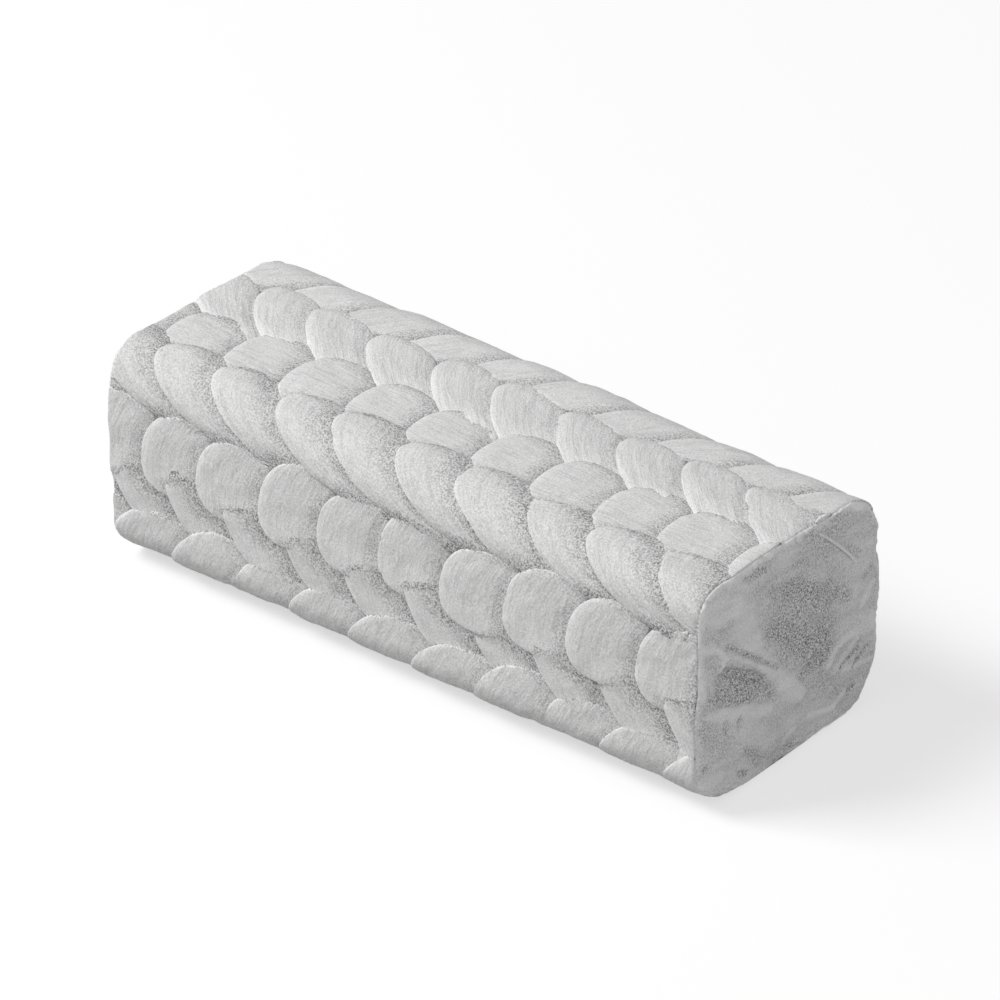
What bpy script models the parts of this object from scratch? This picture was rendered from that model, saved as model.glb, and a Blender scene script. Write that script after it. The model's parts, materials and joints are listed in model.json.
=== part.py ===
"""Square braided gland packing, one straight length with square cut ends.

The packing lies along X with the cut end that shows facing +X, stands on z = 0 and is centred on the
origin in plan. Every strand of the braid comes to the skin as a row of slanting floats. Twelve rows run
round the section, three to a face with one over each corner, and lean to alternate sides. A float is a
ball drawn out along its strand and laid on the rounded square skin, and the floats are united with the
core under them.
"""
import math
import random

import bmesh
import bpy
from mathutils import Vector

for old in list(bpy.data.objects):
    bpy.data.objects.remove(old, do_unlink=True)

MM = 0.001

# section and length
HEIGHT = 25.0 * MM
WIDTH = 28.6 * MM
LENGTH = 76.0 * MM
CORNER = 5.0 * MM

# braid
PITCH = 8.0 * MM            # from float to float of a row, along the packing
FLOAT_OVERLAP = 0.35 * MM   # how far a float reaches past its half of the pitch
FLOAT_DEPTH = 1.7 * MM      # from the crown of a float down to the middle of its strand
CROWN_PRESS = 0.15 * MM     # what the flats take off the crowns
LIFT = 0.40 * MM            # of the end of a float that lies over its neighbour
CORE_DEPTH = 1.25 * MM      # of the core under the skin

# facets and fullness of a float
FLOAT_SIDES = 8
FLOAT_RINGS = 5
CORNER_RINGS = 7            # of a float that bends over a corner
FULL_ALONG = 3.0            # 2 is an ellipse, more is fuller towards the ends
FULL_ACROSS = 0.80          # 1 is an ellipse, less is squarer
CORNER_FACETS = 5

# unevenness of the lay
SEED = 11
SHIFT_ALONG = 0.18 * MM
SHIFT_AROUND = 0.15 * MM
SHIFT_CROWN = 0.08 * MM

# the skin is measured round the section from the middle of the back top corner, over the top first
FLAT_TOP = WIDTH - 2 * CORNER
FLAT_SIDE = HEIGHT - 2 * CORNER
ARC = math.pi / 2 * CORNER
SPANS = (FLAT_TOP + ARC, FLAT_SIDE + ARC, FLAT_TOP + ARC, FLAT_SIDE + ARC)
ROUND = sum(SPANS)
FLOAT_HALF = PITCH / 2 + FLOAT_OVERLAP

# a row of floats: the face it is on, counted over the top first, how far over that face from corner to
# corner, the place of its first float behind the front cut in pitches, its lean along the length for
# each unit round the skin, its reach to each side as a share of that face, and which end is lifted
ROWS = (
    (0, 0.00, 0.49, -0.80, 0.235, 0),
    (0, 0.37, 0.57, 0.80, 0.205, -1),
    (0, 0.67, 0.73, -0.60, 0.180, -1),
    (1, 0.03, 0.94, 1.00, 0.270, 0),
    (1, 0.33, 0.41, -0.75, 0.235, 1),
    (1, 0.63, 0.91, 0.60, 0.215, 0),
    (2, 0.00, 0.13, -0.90, 0.275, 0),
    (2, 0.34, 0.22, 0.80, 0.215, 1),
    (2, 0.66, 0.38, -0.70, 0.205, -1),
    (3, 0.00, 0.60, 1.00, 0.275, 0),
    (3, 0.33, 0.08, -0.75, 0.230, -1),
    (3, 0.66, 0.54, 0.70, 0.225, 1),
)


def skin(along, around, height):
    """Point over the skin: along the packing, around the section, height out from the skin."""
    around = (around + ARC / 2) % ROUND
    half_w, half_h = WIDTH / 2 - CORNER, HEIGHT / 2 - CORNER
    corners = ((half_w, half_h, FLAT_TOP), (-half_w, half_h, FLAT_SIDE),
               (-half_w, -half_h, FLAT_TOP), (half_w, -half_h, FLAT_SIDE))
    out = CORNER + height
    for quarter, (y, z, flat) in enumerate(corners):
        if around <= ARC:
            angle = math.pi / 2 * quarter + around / CORNER
            return Vector((along, y + out * math.cos(angle), z + out * math.sin(angle) + HEIGHT / 2))
        around -= ARC
        if around <= flat or quarter == 3:
            angle = math.pi / 2 * (quarter + 1)
            return Vector((along, y + out * math.cos(angle) - around * math.sin(angle),
                           z + out * math.sin(angle) + around * math.cos(angle) + HEIGHT / 2))
        around -= flat


def new_object(name, bm, collection):
    """Flat facets only, so that the Booleans meet no bent face."""
    bmesh.ops.triangulate(bm, faces=bm.faces)
    bmesh.ops.recalc_face_normals(bm, faces=bm.faces)
    mesh = bpy.data.meshes.new(name)
    bm.to_mesh(mesh)
    bm.free()
    made = bpy.data.objects.new(name, mesh)
    collection.objects.link(made)
    return made


def lay_float(bm, rings, along, around, crown, lean, reach, lift):
    """One ball, filled out towards its ends and bent over the skin."""
    ball = bmesh.ops.create_uvsphere(bm, u_segments=FLOAT_SIDES, v_segments=rings, radius=1.0)
    for vert in ball["verts"]:
        across, up, run = vert.co
        girth = math.hypot(across, up)
        if girth > 1e-6:
            full = (1 - abs(run) ** FULL_ALONG) ** (1 / FULL_ALONG) / girth
            across, up = across * full, up * full
        across = math.copysign(abs(across) ** FULL_ACROSS, across)
        up = math.copysign(abs(up) ** FULL_ACROSS, up)
        vert.co = skin(along + lean * reach * run + FLOAT_HALF * across, around + reach * run,
                       crown + FLOAT_DEPTH * (up - 1) + lift * run)


def float_set(rows, parity, collection):
    """Every other float of every third row, so that no two floats of a set touch."""
    bm = bmesh.new()
    for row in rows:
        face, over, first, lean, share, lifted = ROWS[row]
        around = sum(SPANS[:face]) + over * SPANS[face]
        reach = share * SPANS[face]
        rings = CORNER_RINGS if row % 3 == 0 else FLOAT_RINGS
        chance = random.Random(SEED + row)
        for index in range(-2, math.ceil(LENGTH / PITCH) + 3):
            shift = [chance.uniform(-1, 1) for _ in range(3)]
            along = LENGTH / 2 - (first + index) * PITCH
            spread = abs(lean) * reach + FLOAT_HALF
            if index % 2 == parity and abs(along) < LENGTH / 2 + spread:
                lay_float(bm, rings, along + shift[0] * SHIFT_ALONG, around + shift[1] * SHIFT_AROUND,
                          CROWN_PRESS + shift[2] * SHIFT_CROWN, lean, reach, LIFT * lifted)
    return new_object("floats_%d_%d" % (rows[0], parity), bm, collection)


def core(collection):
    """The body under the floats: the skin drawn in and pulled along the length."""
    bm = bmesh.new()
    ring = []
    for face in range(4):
        for step in range(CORNER_FACETS + 1):
            around = sum(SPANS[:face]) + ARC * (step / CORNER_FACETS - 0.5)
            ring.append(bm.verts.new(skin(-LENGTH / 2 - PITCH, around, -CORE_DEPTH)))
    pulled = bmesh.ops.extrude_face_region(bm, geom=[bm.faces.new(ring)])["geom"]
    moved = [item for item in pulled if isinstance(item, bmesh.types.BMVert)]
    bmesh.ops.translate(bm, verts=moved, vec=(LENGTH + 2 * PITCH, 0, 0))
    return new_object("braided_packing", bm, collection)


def press(collection):
    """The two square cuts, and the flats that press the crowns."""
    bm = bmesh.new()
    bmesh.ops.create_cube(bm, size=1.0)
    bmesh.ops.scale(bm, verts=bm.verts, vec=(LENGTH, WIDTH, HEIGHT))
    bmesh.ops.translate(bm, verts=bm.verts, vec=(0, 0, HEIGHT / 2))
    return new_object("press_box", bm, collection)


def combine(target, tool, operation, solver):
    tool.hide_render = True
    tool.display_type = "WIRE"
    modifier = target.modifiers.new(tool.name, "BOOLEAN")
    modifier.operation = operation
    modifier.solver = solver
    modifier.object = tool


def keep_skin(bm):
    """Fills the pockets that the floats close off over the core, by dropping their shells."""
    left = set(bm.verts)
    shells = []
    while left:
        front = [left.pop()]
        shell = set(front)
        while front:
            for edge in front.pop().link_edges:
                for vert in edge.verts:
                    if vert in left:
                        left.discard(vert)
                        shell.add(vert)
                        front.append(vert)
        shells.append(shell)
    shells.sort(key=len)
    for shell in shells[:-1]:
        bmesh.ops.delete(bm, geom=list(shell), context="VERTS")


packing_parts = bpy.data.collections.new("gland_packing")
tools = bpy.data.collections.new("tools")
for group in (packing_parts, tools):
    bpy.context.scene.collection.children.link(group)

SOLVER = "MANIFOLD"
packing = core(packing_parts)
for third in range(3):
    for parity in range(2):
        combine(packing, float_set(range(third, len(ROWS), 3), parity, tools), "UNION", SOLVER)
combine(packing, press(tools), "INTERSECT", SOLVER)

bpy.context.view_layer.update()
depsgraph = bpy.context.evaluated_depsgraph_get()
bm = bmesh.new()
bm.from_mesh(packing.evaluated_get(depsgraph).to_mesh())
packing.modifiers.clear()
bmesh.ops.remove_doubles(bm, verts=bm.verts, dist=0.0002 * MM)
bmesh.ops.dissolve_degenerate(bm, dist=0.0002 * MM, edges=bm.edges)
keep_skin(bm)
bmesh.ops.triangulate(bm, faces=bm.faces)
bm.to_mesh(packing.data)
print("triangles", len(bm.faces))
bm.free()

yarn = bpy.data.materials.new("white_braid_yarn")
yarn.use_nodes = True
surface = yarn.node_tree.nodes["Principled BSDF"]
surface.inputs["Base Color"].default_value = (0.78, 0.78, 0.76, 1.0)
surface.inputs["Roughness"].default_value = 0.75
packing.data.materials.append(yarn)
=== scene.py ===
"""Square braided gland packing, dressed for the studio.

Twelve rows of strand floats lie round a closed core. Geometry Nodes lay the floats of a row out flat, and
the row is then bent round the section and trimmed at the two square cuts. Each cut end is a pressed face
of its own, with the sections of the strands smeared over it by the knife.
"""
import json
import math
from collections import namedtuple

import bmesh
import bpy
import numpy as np
from mathutils import Matrix, Vector
from mathutils.bvhtree import BVHTree

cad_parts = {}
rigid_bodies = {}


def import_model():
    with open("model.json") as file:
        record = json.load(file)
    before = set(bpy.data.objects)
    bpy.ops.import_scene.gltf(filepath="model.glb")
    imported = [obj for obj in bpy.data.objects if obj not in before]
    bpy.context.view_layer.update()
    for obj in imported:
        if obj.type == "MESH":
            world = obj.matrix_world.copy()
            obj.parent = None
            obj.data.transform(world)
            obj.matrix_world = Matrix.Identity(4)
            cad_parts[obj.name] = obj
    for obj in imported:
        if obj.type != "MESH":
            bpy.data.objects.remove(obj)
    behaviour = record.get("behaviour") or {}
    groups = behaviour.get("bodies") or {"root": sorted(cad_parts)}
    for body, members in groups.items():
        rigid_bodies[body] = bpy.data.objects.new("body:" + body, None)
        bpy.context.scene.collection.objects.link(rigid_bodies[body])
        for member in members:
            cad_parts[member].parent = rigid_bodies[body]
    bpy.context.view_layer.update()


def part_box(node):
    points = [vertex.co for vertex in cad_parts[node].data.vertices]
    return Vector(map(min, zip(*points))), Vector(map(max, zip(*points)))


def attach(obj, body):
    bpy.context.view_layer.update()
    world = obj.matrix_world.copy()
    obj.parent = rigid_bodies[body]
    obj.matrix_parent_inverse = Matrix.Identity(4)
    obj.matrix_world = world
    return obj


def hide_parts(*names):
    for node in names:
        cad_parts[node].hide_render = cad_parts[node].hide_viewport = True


bl_info = {
    "name": "Braided Gland Packing",
    "version": (1, 0, 0),
    "blender": (4, 5, 0),
    "location": "3D View > Sidebar > Packing",
    "description": "Builds a straight length of square braided gland packing",
    "category": "Add Mesh",
}

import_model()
NODE = "braided_packing"
LOW, HIGH = (Vector(corner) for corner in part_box(NODE))
MM = 0.001

# A row of floats: the face of the section that it starts from, how far over that face it lies, the place
# of its first float in pitches, lean, how far a float reaches before its middle and after it as shares of
# the face, and fullness. Then in mm: how far a float bows out along the packing, how far it reaches past
# its half of the pitch, and how high its start, its middle and its end lie. Then its painted light: the
# lee side, away from the lamp, where shade is painted, in degrees from along the packing, how far that
# side turns from start to end, how strong the painted shade is, whether its fibres run along the packing,
# and how strong the painted highlight is toward the next row.
Row = namedtuple("Row", "face over first lean share tail full bow overlap start middle end "
                        "lee turn dust along pale")
ROWS = (
    Row(0, 0.065, 0.67, -0.8, 0.29, 0.29, 2.8, 0.0, 1.3, -0.25, 0.0, -0.35, -15, 0, 1.05, 0, 0.15),
    Row(0, 0.455, 0.19, 0.9, 0.217, 0.217, 2.8, 1.6, 0.85, 0.12, 0.0, -0.5, -50, 0, 0.45, 0, 0.8),
    Row(0, 0.677, 0.7, 0.0, 0.15, 0.25, 2.3, 0.0, 0.5, 0.15, 0.0, -0.4, -20, 20, 0.72, 1, 0.15),
    Row(1, -0.012, 0.16, 0.95, 0.232, 0.3, 2.6, 3.6, 1.7, 0.12, -0.05, -0.5, 0, 28, 1.45, 0, 0.0),
    Row(1, 0.36, 0.39, -0.25, 0.22, 0.22, 3.0, 1.0, 0.6, -0.12, 0.0, 0.15, -12, 0, 0.68, 0, 0.4),
    Row(1, 0.58, 0.92, 0.5, 0.23, 0.27, 2.6, 0.0, 0.8, -0.75, -0.05, -0.4, -30, 0, 1.05, 0, 0.0),
    Row(2, 0.01, 1.0, -0.45, 0.285, 0.285, 2.8, 0.0, 1.3, 0.05, 0.02, 0.0, -8, 0, 0.6, 0, 0.3),
    Row(2, 0.34, 0.22, 0.6, 0.23, 0.23, 2.6, 0.0, 0.8, -0.4, 0.0, 0.1, -30, 0, 0.7, 0, 0.5),
    Row(2, 0.66, 0.38, -0.4, 0.225, 0.225, 2.6, 0.0, 0.8, 0.05, 0.0, -0.4, -20, 0, 0.8, 1, 0.2),
    Row(3, 0.0, 0.6, 1.0, 0.29, 0.3, 3.0, 2.0, 1.5, 0.12, 0.0, -0.4, 0, 30, 1.45, 0, 0.0),
    Row(3, 0.33, 0.08, -0.35, 0.235, 0.235, 2.6, 0.0, 0.6, 0.05, 0.0, -0.35, -20, 0, 0.85, 0, 0.5),
    Row(3, 0.66, 0.54, 0.6, 0.23, 0.23, 2.6, 0.0, 0.7, 0.12, 0.0, 0.05, -20, 0, 0.7, 0, 0.0),
)
MOST_FLOATS = 100  # more than a row has, to number all floats
LAND_STEP = 0.010  # mm from the underside of a row to the next, so that no two lie in one plane

# The shape of every float.
SQUARE = 3.0  # of its cross section: 2 would be an ellipse
TAPER = 0.6  # how its crown falls toward its ends: 0 would keep it level
CROWN_TURN = 0.84  # of the half turn from its crown to its underside, what its crown and flanks take
EVEN = 0.55  # how evenly its facets are spaced: the rest of 1 draws them to its flanks
UNDERSIDE = 0.35  # how far under its flanks its underside lies, as a share of its depth
FIBRE_STRETCH = 1.3  # of its fibres' noise, from its middle line to its own curved length


# ---- sizes and colours ----

def length(name, text, value):
    return bpy.props.FloatProperty(name=name, description=text, default=value, unit="LENGTH", precision=5)


def fraction(name, text, value):
    return bpy.props.FloatProperty(name=name, description=text, default=value)


def colour(name, text, value):
    return bpy.props.FloatVectorProperty(name=name, description=text, default=value, size=3,
                                         subtype="COLOR", min=0.0, max=1.0)


class PackingSizes(bpy.types.PropertyGroup):
    corner: length("Corner radius", "Radius of the section's corners", 5.0 * MM)
    pitch: length("Pitch", "From float to float of a row", 8.0 * MM)
    depth: length("Float depth", "From a float's crown to the middle of its strand", 0.75 * MM)
    press: length("Crown press", "What the rolls took off the crowns", 0.10 * MM)
    core_depth: length("Core depth", "Of the core under the skin", 0.55 * MM)
    cut_round: length("Cut rounding", "How far the strands bend over at a cut", 0.4 * MM)
    roll: length("Roll", "How much higher a float's rear flank lies than its middle", 0.24 * MM)
    fillet: length("Fillet", "The height over which two floats that meet blend", 0.50 * MM)
    uneven_along: length("Uneven along", "Wander of a float along the packing", 0.32 * MM)
    uneven_around: length("Uneven around", "Wander of a float round the section", 0.26 * MM)
    uneven_crown: length("Uneven crown", "Wander of a float's height", 0.15 * MM)
    uneven_size: fraction("Uneven size", "Wander of a float's size, as a share", 0.08)
    fibre_relief: length("Fibre relief", "Height of the bundles of fibre on a float", 0.075 * MM)
    lump_relief: length("Lump relief", "Height of a strand's soft lumps", 0.20 * MM)
    sides: bpy.props.IntProperty(name="Sides", description="Facets round a float", default=56, min=8)
    rings: bpy.props.IntProperty(name="Rings", description="Facets along a float", default=44, min=6)


class PackingColours(bpy.types.PropertyGroup):
    yarn: colour("Yarn", "The crowns of the strands", (0.765, 0.765, 0.76))
    # Painted highlight on free rims, random lighter patches, and the cut's lighter marks and frayed rim.
    lighter_and_highlight: colour("Worn yarn", "Edges and corners that the rolls rubbed bright", (0.95, 0.95, 0.945))
    # Painted shade on each float's lee side, away from the lamp.
    shade_colour: colour("Crease", "Deep between the strands", (0.36, 0.36, 0.36))
    cut: colour("Cut end", "The knife-smeared end", (0.80, 0.80, 0.80))
    floor: colour("Floor", "The studio floor", (0.45, 0.45, 0.45))


# ---- node trees in Python ----

def arithmetic(operation, swap=False):
    """A method that puts a Math node on a wire. A reflected form swaps the values."""
    return lambda wire, *others: wire.math(operation, *others, swap=swap)


class Wire:
    """An output socket that takes part in Python arithmetic."""

    def __init__(self, graph, socket):
        self.graph, self.socket = graph, socket

    def math(self, operation, *others, swap=False):
        values = [self, *others]
        if swap:
            values.reverse()
        return self.graph.add("ShaderNodeMath", {"operation": operation}, dict(enumerate(values)))

    __add__ = __radd__ = arithmetic("ADD")
    __mul__ = __rmul__ = arithmetic("MULTIPLY")
    __sub__, __rsub__ = arithmetic("SUBTRACT"), arithmetic("SUBTRACT", swap=True)
    __truediv__, __rtruediv__ = arithmetic("DIVIDE"), arithmetic("DIVIDE", swap=True)
    __pow__, __abs__, sign = arithmetic("POWER"), arithmetic("ABSOLUTE"), arithmetic("SIGN")
    least, most = arithmetic("MINIMUM"), arithmetic("MAXIMUM")

    def __neg__(self):
        return self * -1.0

    def spread(self, low, high, to_low=0.0, to_high=1.0):
        """The value eased from low..high to to_low..to_high."""
        return self.graph.add("ShaderNodeMapRange", {"interpolation_type": "SMOOTHSTEP"}, {
            "Value": self, "From Min": low, "From Max": high, "To Min": to_low, "To Max": to_high})

    def part(self, axis):
        return self.graph.add("ShaderNodeSeparateXYZ", {}, {"Vector": self}, output=axis)


class Graph:
    """Adds nodes to a tree: a type, its settings, the values or wires of its sockets."""

    def __init__(self, tree):
        self.tree = tree

    def add(self, kind, settings=None, values=None, output=None):
        node = self.tree.nodes.new(kind)
        for name, value in (settings or {}).items():
            setattr(node, name, value)
        for name, value in (values or {}).items():
            if isinstance(name, int):
                socket = node.inputs[name]
            else:
                socket = next(s for s in node.inputs if s.name == name and s.enabled)
            if isinstance(value, Wire):
                self.tree.links.new(value.socket, socket)
            elif value is not None:
                socket.default_value = value
        if output is None:
            found = next((s for s in node.outputs if s.enabled), None)
        else:
            found = next(s for s in node.outputs if s.name == output and s.enabled)
        return Wire(self, found) if found else node

    def xyz(self, x, y, z):
        return self.add("ShaderNodeCombineXYZ", {}, {"X": x, "Y": y, "Z": z})

    def mix(self, share, first, second):
        """Colours only."""
        return self.add("ShaderNodeMix", {"data_type": "RGBA", "clamp_factor": True},
                        {"Factor": share, "A": first, "B": second})

    def noise(self, place, scale, detail=2.0, roughness=0.5):
        return self.add("ShaderNodeTexNoise", {}, {
            "Vector": place, "Scale": scale, "Detail": detail, "Roughness": roughness}, output="Fac")

    def attribute(self, name, output="Vector"):
        return self.add("ShaderNodeAttribute", {"attribute_name": name}, {}, output=output)


def grey(value):
    return (value, value, value, 1.0)


# ---- the skin of the packing ----

# How far the outline has settled, in mm: the sag of the far top edge, the swell of the far side, how far
# the near bottom edge is drawn up, and how far the near top edge stands out at the cut.
SAG, SWELL, DRAWN_UP, STANDING = 0.75, 0.50, 0.80, 0.90


def eased(value, low, high):
    """0 below the lower limit and 1 over the upper one, with a smooth step between."""
    share = np.clip((value - low) / (high - low), 0.0, 1.0)
    return share * share * (3 - 2 * share)


class Section:
    """The rounded square section, measured from the middle of the back top corner over the top."""

    def __init__(self, sizes):
        self.height = HIGH.z - LOW.z
        self.width = HIGH.y - LOW.y
        self.length = HIGH.x - LOW.x
        self.corner = sizes.corner
        self.top = self.width - 2 * self.corner
        self.side = self.height - 2 * self.corner
        self.arc = math.pi / 2 * self.corner
        self.spans = (self.top + self.arc, self.side + self.arc) * 2
        self.round = sum(self.spans)

    def place(self, along, around, out):
        """Points over the skin, for arrays of places along, places around and heights."""
        around = np.mod(around + self.arc / 2, self.round)
        along, around, out = np.broadcast_arrays(along, around, out)
        point = np.zeros((*around.shape, 3))
        point[..., 0] = along
        half_w, half_h = self.width / 2 - self.corner, self.height / 2 - self.corner
        corners = ((half_w, half_h, self.top), (-half_w, half_h, self.side),
                   (-half_w, -half_h, self.top), (half_w, -half_h, self.side))
        reach = self.corner + out
        start = 0.0
        for quarter, (y, z, flat) in enumerate(corners):
            here = (around >= start) & (around <= start + self.arc + flat)
            turn = math.pi / 2 * quarter + np.clip(around - start, 0.0, self.arc) / self.corner
            run = np.clip(around - start - self.arc, 0.0, flat)
            point[here, 1] = (y + reach * np.cos(turn) - run * np.sin(turn))[here]
            point[here, 2] = (z + reach * np.sin(turn) + run * np.cos(turn))[here]
            start += self.arc + flat
        point[..., 2] += self.height / 2
        return self.settle(point)

    def settle(self, point):
        """The give of a soft bar that has lain and been cut. It eases between limits in mm."""
        x, y, z = (point[..., axis] / MM for axis in range(3))
        point[..., 2] -= SAG * MM * eased(x, -6, 30) * eased(y, 2, 12) * eased(z, 12.5, 22)
        low_half = eased(z, 1, 6) * (1 - eased(z, 12, 22))
        point[..., 1] += SWELL * MM * eased(x, 20, 37) * eased(y, 4, 14) * low_half
        point[..., 2] += DRAWN_UP * MM * eased(-y, 5, 13) * (1 - eased(z, 0, 9))
        over = z - (self.height - self.corner) / MM
        beside = -y - (self.width / 2 - self.corner) / MM
        turn = np.arctan2(np.clip(over, 0, None), np.clip(beside, 0, None))
        push = STANDING * MM * np.sin(2 * turn) ** 2 * eased(x, 24, 37) * eased(over, 0.0, 0.8)
        point[..., 1] -= push * np.cos(turn)
        point[..., 2] += push * np.sin(turn)
        return point

    def on_corner(self, around):
        """1 at the middle of a corner, falling to 0 on the flats beside it."""
        away = np.abs(around[:, None] - np.cumsum((0.0, *self.spans))).min(axis=1)
        return np.clip(1.2 - away / (0.75 * self.arc), 0.0, 1.0)

    def bend_over(self, along, radius):
        """How far the skin has bent inwards at a place along, close to a cut."""
        run = np.clip((np.abs(along) - (self.length / 2 - radius)) / radius, 0.0, 1.0)
        return radius * (1.0 - np.sqrt(1.0 - run * run))


def triples(items, key):
    """Three numbers for each vertex of a mesh or value of an attribute."""
    found = np.empty(len(items) * 3)
    items.foreach_get(key, found)
    return found.reshape(-1, 3)


def link_piece(name, data):
    piece = bpy.data.objects.new(name, data)
    bpy.context.scene.collection.objects.link(piece)
    return piece


def hand_over(piece):
    """Every piece of the packing stands for the one solid."""
    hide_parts(NODE)
    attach(piece, "root")


def skin(bm, rings):
    """Faces from ring to ring, and one over each end."""
    for first, second in zip(rings, rings[1:]):
        for step in range(len(first)):
            after = (step + 1) % len(first)
            bm.faces.new((first[step], first[after], second[after], second[step]))
    bm.faces.new(rings[0])
    bm.faces.new(rings[-1])


def close_up(name, bm, material, smooth_ends=True):
    """A closed shell becomes a piece of the packing."""
    bmesh.ops.recalc_face_normals(bm, faces=bm.faces)
    for face in bm.faces:
        face.smooth = smooth_ends or len(face.verts) == 4
    mesh = bpy.data.meshes.new(name)
    bm.to_mesh(mesh)
    bm.free()
    mesh.materials.append(material)
    hand_over(link_piece(name, mesh))


def plain_mesh(holder):
    """The evaluated mesh of an object with modifiers, as a mesh of its own."""
    bpy.context.view_layer.update()
    depsgraph = bpy.context.evaluated_depsgraph_get()
    mesh = bpy.data.meshes.new_from_object(holder.evaluated_get(depsgraph))
    holder.modifiers.clear()
    return mesh


# ---- materials ----

def blank(owner):
    """The node tree of a material or world, emptied."""
    owner.use_nodes = True
    owner.node_tree.nodes.clear()
    return Graph(owner.node_tree)


def new_material(name):
    material = bpy.data.materials.new(name)
    return material, blank(material)


def fuzz(g, grain, roughness, fluff):
    """Object coordinates, and fine grain and coarser fluff at these scales on them."""
    coords = g.add("ShaderNodeTexCoord", output="Object")
    return coords, g.noise(coords, grain, 3.0, roughness), g.noise(coords, fluff, 4.0, 0.7)


def finish_surface(g, shade, roughness, relief, strength, depth, more):
    """Ends a material: one matt surface under relief of this strength and depth in mm."""
    bump = g.add("ShaderNodeBump", {}, {"Strength": strength, "Distance": depth * MM, "Height": relief})
    surface = g.add("ShaderNodeBsdfPrincipled", {}, {
        "Base Color": shade, "Roughness": roughness, "Normal": bump, **more})
    g.add("ShaderNodeOutputMaterial", {}, {"Surface": surface})


def yarn_material(colours):
    """Off-white yarn: fibres along each float, painted shade on its lee side, painted highlight on a free
    rim.
    """
    material, g = new_material("braided white yarn")
    fibre = g.attribute("fibre")
    along, across, which = fibre.part("X"), fibre.part("Y"), fibre.part("Z")
    lie = g.attribute("lie")
    dust, painted_highlight, corner = lie.part("X"), lie.part("Y"), lie.part("Z")
    coords, grain, fluff = fuzz(g, 5200.0, 0.75, 800.0)

    waver = g.noise(g.xyz(along * 0.5, across * 0.6, which), 1.0, 2.0)
    lines = g.noise(g.xyz(along * 0.16, across + waver * 0.8, which), 5.0, 4.0, 0.65)
    bands = g.noise(g.xyz(along * 0.08, across * 0.7 + waver * 0.35, which), 2.4, 3.0, 0.6)
    cloud = g.noise(coords, 170.0, 3.0, 0.5)

    # Painted shade on the lee side; painted highlight on free rims, a little less on a corner; random
    # mottling.
    lee_shade = (dust * 1.25 - 0.08 + (fluff - 0.5) * 0.6).most(0.0).least(1.0)
    bright = painted_highlight * 0.9 - corner * 0.10 + (cloud - 0.45) * 0.9 + (fluff - 0.5) * 0.4
    shade = g.mix(bright.most(0.0).least(1.0), (*colours.yarn, 1.0), (*colours.lighter_and_highlight, 1.0))
    shade = g.mix(bands.spread(0.50, 0.66) * 0.30, shade, grey(0.50))
    shade = g.mix(lines.spread(0.50, 0.72) * (corner * 0.28 + 0.36), shade, grey(0.46))
    shade = g.mix(lee_shade * 0.42, shade, (*colours.shade_colour, 1.0))
    # Dark specks: a few everywhere, and most in the painted shade.
    speck = grain.spread(0.49, 0.57) * (lee_shade * 0.80 + 0.17)
    shade = g.mix(speck, shade, grey(0.16))
    glint = grain.spread(0.47, 0.36) * 0.45
    shade = g.mix(glint, shade, grey(0.98))

    relief = lines * 0.9 + bands * 1.2 + grain * 0.5 + fluff * 0.7
    finish_surface(g, shade, lines.spread(0.2, 0.8, 0.66, 0.84), relief, 0.8, 0.12, {
        "Specular IOR Level": 0.30, "Sheen Weight": 0.15, "Sheen Roughness": 0.5})
    return material


def cut_material(colours):
    """The cut end: matt, smeared strand ends, with painted shade and specks in grooves, painted highlight
    on ridges.
    """
    material, g = new_material("knife smeared yarn")
    coords, grain, fluff = fuzz(g, 5400.0, 0.8, 900.0)
    tone, rim = g.attribute("tone", "Fac"), g.attribute("rim", "Fac")
    knife_way = g.add("ShaderNodeMapping", {}, {
        "Vector": coords, "Rotation": (math.radians(40), 0.0, 0.0), "Scale": (1.0, 0.30, 1.6)})
    drag = g.noise(knife_way, 650.0, 4.0, 0.6)
    # High tone: lighter yarn and painted highlight on ridges; low tone: darker yarn and painted shade in
    # grooves.
    lighter_and_highlight = (tone + (fluff - 0.5) * 0.6).most(0.0).least(1.0)
    darker_and_shade = (-tone + (fluff - 0.5) * 0.6 + 0.22).most(0.0).least(1.0)
    shade = g.mix(drag.spread(0.40, 0.70) * 0.34, (*colours.cut, 1.0), grey(0.46))
    shade = g.mix(lighter_and_highlight * 0.75, shade, (*colours.lighter_and_highlight, 1.0))
    shade = g.mix(darker_and_shade * 0.50, shade, grey(0.42))
    # Dark specks, most where the painted shade is.
    speck = grain.spread(0.50, 0.57) * (darker_and_shade * 0.85 + 0.20)
    shade = g.mix(speck, shade, grey(0.16))
    glint = grain.spread(0.48, 0.38) * (darker_and_shade * 0.5 + 0.25)
    shade = g.mix(glint, shade, grey(0.97))
    # The frayed rim: whitish fibres, with painted highlight that is stronger toward the top.
    frayed = (rim + (fluff - 0.5) * 0.8 * rim) * 0.9
    shade = g.mix(frayed, shade, (*colours.lighter_and_highlight, 1.0))
    relief = drag * 0.6 + grain * 0.5 + fluff * 0.3
    finish_surface(g, shade, 0.85, relief, 0.9, 0.14, {"Specular IOR Level": 0.25})
    return material


def core_material():
    """What shows of the core between the floats: painted shade and dark specks."""
    material, g = new_material("core in shade")
    grain, fluff = fuzz(g, 4300.0, 0.75, 900.0)[1:]
    shade = g.mix(fluff.spread(0.35, 0.65), grey(0.36), grey(0.52))
    shade = g.mix(grain.spread(0.46, 0.58) * 0.65, shade, grey(0.14))
    finish_surface(g, shade, 0.9, grain, 0.5, 0.1, {})
    return material


# ---- a row of floats, laid out flat ----

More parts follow.
